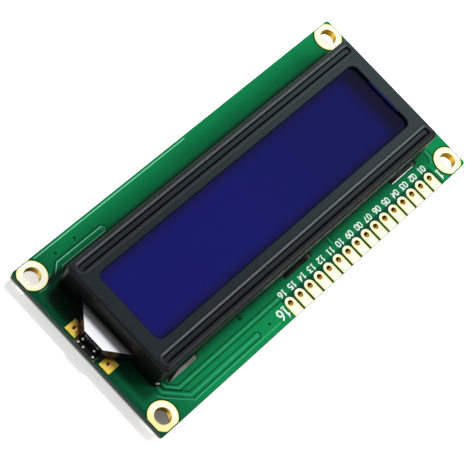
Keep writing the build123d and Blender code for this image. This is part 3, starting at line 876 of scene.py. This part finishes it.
dress(resistor_names, chip_finish("resistor_body", srgb(20, 20, 24), srgb(34, 34, 38), resistor_names))
dress(capacitor_names, chip_finish("capacitor_body", srgb(150, 116, 78), srgb(170, 134, 92), capacitor_names))
chip_fillets = fillets("chip_fillets")
wear(chip_fillets, solder)
land_reach, land_under, land_width = 0.62, 0.3, 1.45
outline_gap, outline_reach, outline_width = 0.4, 0.6, 0.16
land_runs, outline_runs = [], []
for low, high in chip_boxes:
    middle_y = (low[1] + high[1]) / 2
    land_runs.append([(low[0] - land_reach, middle_y), (low[0] + land_under, middle_y)])
    land_runs.append([(high[0] - land_under, middle_y), (high[0] + land_reach, middle_y)])
    for y in (low[1] - outline_gap, high[1] + outline_gap):
        outline_runs.append([(low[0] - outline_reach, y), (high[0] + outline_reach, y)])
chip_lands = ribbon("chip_lands", land_runs, land_width, rear_z - land_height, rear_z + ink_sunk)
wear(chip_lands, solder)
chip_outlines = ribbon("chip_outlines", outline_runs, outline_width, rear_z - ink_height, rear_z + ink_sunk)
wear(chip_outlines, ink)


# Print on the rear: the numbers of the header's first and last pin in the same white ink, turned so that
# they read from that side.
rear_number_y, rear_number_height, rear_stroke = 16.3, 1.6, 0.26
rear_numbers = []
for number, x, slim in (("1", first_pin_x - 2.2, 0.9), ("16", pin_xs[-1] + 2.6, 0.82)):
    rear_numbers += number_strokes(number, x, rear_number_y, rear_number_height, slim, reads=-1)
rear_print = ribbon("rear_print", rear_numbers, rear_stroke, rear_z - ink_height, rear_z + ink_sunk)
wear(rear_print, ink)


# Where it stands: a white table that shows white to the camera and keeps the object's soft shadow. Seen from
# below it is clear, so that the board's rear can be looked at.
table_reach = 0.6
floor_z = cad_box[0][2]
table_corners = [(-table_reach, -table_reach), (table_reach, -table_reach),
                 (table_reach, table_reach), (-table_reach, table_reach)]
ground = bpy.data.meshes.new("table_top")
ground.from_pydata([(x, y, floor_z) for x, y in table_corners], [], [(0, 1, 2, 3)])
table = bpy.data.objects.new("table_top", ground)
table.visible_shadow = False
bpy.context.scene.collection.objects.link(table)


def table_finish():
    """Matt white that adds light of its own for the camera, also through clear pieces, and for nothing else.
    Painted shadow greys it and takes away some of that light under the lamp end and the header row, and
    makes it near black with almost none behind the slots of the header side, along a line under the
    bezel's wall that steps inwards in the lamp half."""
    material, tree, shader = finish("table_white")
    shader.inputs["Roughness"].default_value = 0.9
    shader.inputs["Specular IOR Level"].default_value = 0.0
    x, y, _, _ = place_sockets(tree)
    lamp_half = times(tree, fade(tree, x, -7.0, 0.0), fade(tree, y, 3.0, 12.0))
    header_row = times(tree, fade(tree, x, row_start_x - 2.45, row_start_x - 0.45),
                       fade(tree, y, header_y - 2.3, header_y - 1.1))
    covered = times(tree, calc(tree, "LESS_THAN", x, (board_end_x - 1.2) * MM),
                    calc(tree, "LESS_THAN", y, (board_side_y - 0.3) * MM))
    under = times(tree, largest(tree, lamp_half, header_row), covered)
    middle_slot = times(tree, band(tree, x, -8.0, -1.0, 5.0), band(tree, y, 10.4, 12.4, 14.4))
    below_board = calc(tree, "LESS_THAN", distance(tree, x, 0.0), (board_end_x - 3.0) * MM)
    step_inwards = 0.8
    across_wall = calc(tree, "MULTIPLY_ADD", fade(tree, x, -5.0, 5.0), step_inwards * MM, y)
    wall_side = band(tree, across_wall, header_wall_y + 0.49, header_wall_y + 0.33, header_wall_y - 2.45)
    middle_slot_shade = calc(tree, "MINIMUM", times(tree, middle_slot, 3.0), 1.0)
    deep = largest(tree, middle_slot_shade, times(tree, wall_side, below_board))
    # Painted shadow: grey under the board, near black behind the header side's slots.
    shaded = mix_colour(tree, under, srgb(238, 238, 238), srgb(152, 152, 148))
    tree.links.new(mix_colour(tree, deep, shaded, srgb(46, 42, 34)), shader.inputs["Base Color"])
    rays = tree.nodes.new("ShaderNodeLightPath")
    seen = largest(tree, rays.outputs["Is Camera Ray"], rays.outputs["Is Transmission Ray"])
    open_light, taken_under, taken_deep = 0.66, 0.54, 0.11
    own_light = calc(tree, "MULTIPLY_ADD", largest(tree, under, deep), -taken_under, open_light)
    own_light = calc(tree, "MULTIPLY_ADD", deep, -taken_deep, own_light)
    glow = tree.nodes.new("ShaderNodeEmission")
    tree.links.new(times(tree, seen, own_light), glow.inputs["Strength"])
    lit = tree.nodes.new("ShaderNodeAddShader")
    tree.links.new(shader.outputs[0], lit.inputs[0])
    tree.links.new(glow.outputs[0], lit.inputs[1])
    below = tree.nodes.new("ShaderNodeMixShader")
    tree.links.new(tree.nodes.new("ShaderNodeNewGeometry").outputs["Backfacing"], below.inputs[0])
    tree.links.new(lit.outputs[0], below.inputs[1])
    tree.links.new(tree.nodes.new("ShaderNodeBsdfTransparent").outputs[0], below.inputs[2])
    tree.links.new(below.outputs[0], tree.nodes["Material Output"].inputs["Surface"])
    return material


ground.materials.append(table_finish())


# The room: white walls seen by the camera, glass and metal, dim as a light, with less to mirror near the
# horizon. Three soft lamps stand above the pin 1 end, and one below lights the board's rear.
def room_light():
    """A world of one white whose strength depends on the kind of ray and, for mirrors, on the height looked
    at."""
    world = bpy.data.worlds.new("room")
    bpy.context.scene.world = world
    world.use_nodes = True
    tree = world.node_tree
    rays = tree.nodes.new("ShaderNodeLightPath")
    mirrored = rays.outputs["Is Glossy Ray"]
    seen = largest(tree, rays.outputs["Is Camera Ray"], mirrored, rays.outputs["Is Transmission Ray"])
    sky = tree.nodes.new("ShaderNodeSeparateXYZ")
    tree.links.new(tree.nodes.new("ShaderNodeTexCoord").outputs["Generated"], sky.inputs[0])
    high_sky, low_sky, taken_low = 0.6, 0.15, 0.6
    low = times(tree, fade(tree, sky.outputs[2], high_sky, low_sky, scale=1.0), taken_low)
    ambient = 0.08
    strength = calc(tree, "MULTIPLY_ADD", seen, 1 - ambient, ambient)
    strength = calc(tree, "SUBTRACT", strength, times(tree, mirrored, low))
    tree.links.new(strength, tree.nodes["Background"].inputs["Strength"])
    tree.nodes["Background"].inputs["Color"].default_value = (1, 1, 1, 1)


def soft_lamp(name, toward, strength, spread, mirrored=False, bounces=1024):
    """A far soft lamp. The vector points at it, and the spread is the angle in degrees that it fills in the
    sky. Glossy faces mirror it only where mirrored is set, and with no bounces its light stays on the faces
    that it meets first."""
    light = bpy.data.lights.new(name, "SUN")
    light.energy = strength
    light.angle = math.radians(spread)
    light.cycles.max_bounces = bounces
    lamp = bpy.data.objects.new(name, light)
    back = np.array(toward) / np.linalg.norm(toward)
    right = np.cross((0.0, 1.0, 0.0), back)
    right /= np.linalg.norm(right)
    turn = np.eye(4)
    turn[:3, :3] = np.column_stack([right, np.cross(back, right), back])
    lamp.matrix_world = Matrix(turn.tolist())
    lamp.visible_glossy = mirrored
    bpy.context.scene.collection.objects.link(lamp)


room_light()
soft_lamp("high_lamp", toward=(-0.404, -0.06, 0.913), strength=2.5, spread=10.0)
soft_lamp("side_lamp", toward=(-0.46, 0.6, 0.65), strength=1.05, spread=50.0)
soft_lamp("strip_lamp", toward=(-0.49, 0.49, 0.72), strength=0.55, spread=18.0, mirrored=True)
soft_lamp("under_lamp", toward=(0.25, -0.35, -0.9), strength=1.6, spread=30.0, mirrored=True, bounces=0)


# The camera: where the photograph was taken from, fitted to the module's holes, pins and corners. It looks
# down from above the lamp end at a point on the board's face, turned so that the module runs from lower
# left to upper right.
view_azimuth, view_elevation, view_roll = (math.radians(degrees) for degrees in (10.2, 59.911, 37.701))
view_distance, looked_at = 328.54, np.array([4.846, 1.345, face_z])
toward = np.array([math.cos(view_elevation) * math.cos(view_azimuth),
                   math.cos(view_elevation) * math.sin(view_azimuth), math.sin(view_elevation)])
level_right = np.array([-math.sin(view_azimuth), math.cos(view_azimuth), 0.0])
right = math.cos(view_roll) * level_right + math.sin(view_roll) * np.cross(toward, level_right)
pose = np.eye(4)
eye = (looked_at + view_distance * toward) * MM
pose[:3] = np.column_stack([right, np.cross(toward, right), toward, eye])
view = bpy.data.cameras.new("photo_view")
view.lens = 147.47
view.sensor_width = 36.0
view.clip_start = 0.01
camera = bpy.data.objects.new("photo_view", view)
camera.matrix_world = Matrix(pose.tolist())
bpy.context.scene.collection.objects.link(camera)
bpy.context.scene.camera = camera
bpy.context.scene.view_settings.view_transform = "Standard"
